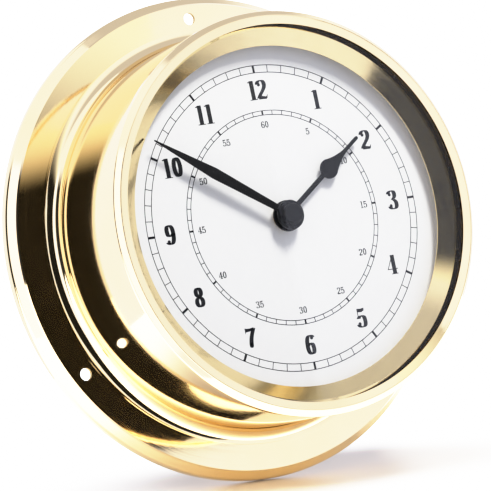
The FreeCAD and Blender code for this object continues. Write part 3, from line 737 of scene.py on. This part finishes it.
# the way up in the room, because the clock leans back on the table
UPWARDS = (0.069, -0.283, 0.957)
SURROUNDINGS = [
    # azimuth from the front towards the left, elevation and edge softness in degrees, brightness
    ((-95, -34, -50, 60, 8), 1.25),     # the pale side that the glass reflects
    ((54, 74, -45, 40, 5), 1.9),        # a bright strip at the left
    ((74, 112, -34, 40, 10), 0.03),     # a dark corner beyond it
    ((-112, -96, -30, 0, 10), 0.25),    # a dim corner at the right
    ((-200, 34, 44, 91, 14), 0.72),     # the ceiling
]


def glow_patch(tree, azimuth, elevation, spans, level, base):
    """Blends a socket towards a level inside a soft-edged window of azimuth and elevation, in degrees."""
    left, right, low, high, soft = spans
    weight = None
    sides = ((azimuth, left, 1), (azimuth, right, 0), (elevation, low, 1), (elevation, high, 0))
    for angle, edge, rising in sides:
        span = (math.radians(edge - soft / 2), math.radians(edge + soft / 2))
        inside = mapped(tree, angle, span, (1 - rising, rising), interpolation_type="SMOOTHSTEP")
        weight = inside if weight is None else reckoned(tree, "MULTIPLY", weight, inside)
    mix = add(tree, "ShaderNodeMix", data_type="FLOAT")
    tree.links.new(weight, mix.inputs["Factor"])
    tree.links.new(base, mix.inputs[2])
    mix.inputs[3].default_value = level
    return mix.outputs[0]


def studio_world():
    """A pale room with patches for reflections; behind the object the camera sees plain white."""
    world = bpy.data.worlds.new("studio")
    bpy.context.scene.world = world
    world.use_nodes = True
    tree = world.node_tree
    tree.nodes.clear()
    link = tree.links.new
    direction = add(tree, "ShaderNodeTexCoord")
    split = add(tree, "ShaderNodeSeparateXYZ")
    link(direction.outputs["Generated"], split.inputs[0])
    leftwards, frontwards = (reckoned(tree, "MULTIPLY", split.outputs[axis], -1) for axis in (0, 1))
    azimuth = reckoned(tree, "ARCTAN2", leftwards, frontwards)
    elevation = add(tree, "ShaderNodeMath", operation="ARCSINE")
    link(split.outputs[2], elevation.inputs[0])
    base = add(tree, "ShaderNodeValue")
    base.outputs[0].default_value = ROOM_LEVEL
    level = base.outputs[0]
    for spans, brightness in SURROUNDINGS:
        level = glow_patch(tree, azimuth, elevation.outputs[0], spans, brightness, level)
    seen = add(tree, "ShaderNodeLightPath")
    share = mapped(tree, seen.outputs["Is Diffuse Ray"], (0, 1), (1.0, ROOM_SHARE_IN_SHADOWS))
    room = add(tree, "ShaderNodeBackground")
    room.inputs["Color"].default_value = ROOM_TINT
    link(reckoned(tree, "MULTIPLY", level, share), room.inputs["Strength"])
    white = add(tree, "ShaderNodeBackground")
    white.inputs["Color"].default_value = (1, 1, 1, 1)
    white.inputs["Strength"].default_value = BACKGROUND_LEVEL
    mix = add(tree, "ShaderNodeMixShader")
    link(seen.outputs["Is Camera Ray"], mix.inputs[0])
    link(room.outputs[0], mix.inputs[1])
    link(white.outputs[0], mix.inputs[2])
    out = add(tree, "ShaderNodeOutputWorld")
    link(mix.outputs[0], out.inputs[0])


def flat_card(name, corners, material):
    mesh = bpy.data.meshes.new(name)
    mesh.from_pydata(corners, [], [list(range(len(corners)))])
    mesh.materials.append(material)
    card = shown(name, mesh)
    return card


def black_flag():
    """A black card in front with a window in it, seen only in reflections, fading out along its top edge."""
    tree, shader, material = new_material("flag_black")
    tree.nodes.remove(shader)
    glow = add(tree, "ShaderNodeEmission")
    place = add(tree, "ShaderNodeTexCoord")
    slope = add(tree, "ShaderNodeVectorMath", operation="DOT_PRODUCT")
    slope.inputs[1].default_value = (0.5, 0, 1)
    tree.links.new(place.outputs["Object"], slope.inputs[0])
    rise = mapped(tree, slope.outputs["Value"], (0.10, 0.20), (FLAG_LEVEL, ROOM_LEVEL),
                  interpolation_type="SMOOTHSTEP")
    tree.links.new(rise, glow.inputs["Strength"])
    tree.links.new(glow.outputs[0], tree.nodes["Material Output"].inputs[0])
    card_y = -0.335
    # x and z, round the outside and round the window, which opens at the right
    outline = [
        (-0.46, -0.27), (0.06, -0.36), (0.13, -0.3), (0.13, -0.12), (-0.075, -0.12), (-0.075, 0.1),
        (0.1, 0.1), (0.1, -0.044), (0.1735, -0.044), (0.1735, 0.12), (0, 0.2), (-0.46, 0.43),
    ]
    card = flat_card("black_flag", [(x, card_y, z) for x, z in outline], material)
    card.visible_camera = False
    card.visible_diffuse = False
    card.visible_shadow = False
    card.visible_transmission = False


def table_top():
    """A short pale table under the rim, tilted as the clock leans back on it. Its warm beige colour is a
    painted reflection of the brass near the rim, and away from the clock it has a painted glow of plain
    white, though it is no lamp.
    """
    up = Vector(UPWARDS).normalized()
    back_rim = max(FLANGE_R * MM * math.hypot(up.x, up.z) - up.y * y * MM for y in (WALL_Y, RIM_EDGE_Y))
    middle = -up * back_rim
    across = Vector((1, 0, 0)) - up * up.x
    across.normalize()
    forward = up.cross(across)
    # painted reflection: the warm beige colour stands in for the brass's warm light on the table near the
    # clock
    material = finish("table_glow_and_brass_reflection", (0.84, 0.765, 0.65), (0.87, 0.795, 0.68), (0.3, 0.36), scale=60,
                      depth=0.0, Emission_Color=(1, 1, 1, 1))
    tree = material.node_tree
    shader = tree.nodes["Principled BSDF"]
    place = add(tree, "ShaderNodeTexCoord")
    spot = middle + across * 0.02 - forward * 0.01
    apart = add(tree, "ShaderNodeVectorMath", operation="SUBTRACT")
    apart.inputs[1].default_value = spot
    tree.links.new(place.outputs["Object"], apart.inputs[0])
    squeezed = add(tree, "ShaderNodeVectorMath", operation="MULTIPLY")
    squeezed.inputs[1].default_value = (1, 3, 1)
    tree.links.new(apart.outputs["Vector"], squeezed.inputs[0])
    away = add(tree, "ShaderNodeVectorMath", operation="LENGTH")
    tree.links.new(squeezed.outputs["Vector"], away.inputs[0])
    # painted glow: the table gives off white light that grows with distance from the clock, so only the part
    # near the rim shows real light and shadow
    painted_glow = mapped(tree, away.outputs["Value"], (0.035, 0.12), (0.0, 2.4), interpolation_type="SMOOTHSTEP")
    tree.links.new(painted_glow, shader.inputs["Emission Strength"])
    half_length, front_edge, back_edge = 0.6, -0.07, 0.035
    spans = [(-half_length, front_edge), (half_length, front_edge)]
    spans += [(half_length, back_edge), (-half_length, back_edge)]
    corners = [middle + across * a + forward * b for a, b in spans]
    flat_card("table_top", corners, material)


def film_response():
    """Linear up to a knee, then bright brass runs gently to white."""
    view = bpy.context.scene.view_settings
    view.view_transform = "Standard"
    view.use_curve_mapping = True
    mapping = view.curve_mapping
    top, knee = 2.5, 0.72
    mapping.white_level = (top, top, top)
    tone = mapping.curves[3]
    for light in (0.2, 0.45, knee, 0.8, 0.9, 1.0, 1.15, 1.35, 1.6, 2.0):
        over = max(light - knee, 0)
        tone.points.new(light / top, min(light, knee) + (1 - knee) * (1 - math.exp(-over / (1 - knee))))
    mapping.update()


def camera():
    data = bpy.data.cameras.new("camera")
    data.lens = 234.32
    data.sensor_width = 36
    heading, pitch, roll = math.radians(29.78), math.radians(4.298), math.radians(11.68)
    flat = Vector((math.sin(heading), math.cos(heading), 0))
    forward = flat * math.cos(pitch) + Vector((0, 0, math.sin(pitch)))
    level = Vector((math.cos(heading), -math.sin(heading), 0))
    upright = level.cross(forward)
    right = math.cos(roll) * level - math.sin(roll) * upright
    up = right.cross(forward)
    place = Vector((-0.40084, DIAL_Y * MM - 0.67886, -0.06424))
    cam = shown("camera", data)
    cam.matrix_world = Matrix.Translation(place) @ Matrix((right, up, -forward)).transposed().to_4x4()
    bpy.context.scene.camera = cam


def area_light(name, place, size, power):
    data = bpy.data.lights.new(name, "AREA")
    data.shape = "RECTANGLE"
    data.size, data.size_y = size
    data.energy = power
    light = shown(name, data)
    light.location = place
    aim = Vector((0, DIAL_Y * MM, 0)) - Vector(place)
    light.rotation_euler = aim.to_track_quat("-Z", "Y").to_euler()
    light.visible_camera = False
    light.visible_glossy = False


dress_case()
dress_dial_print()
dress_front()
dress_movement()
dress_electrics()
studio_world()
black_flag()
table_top()
film_response()
camera()
area_light("key", (0.1, -0.42, 0.44), (0.15, 0.15), 4.0)
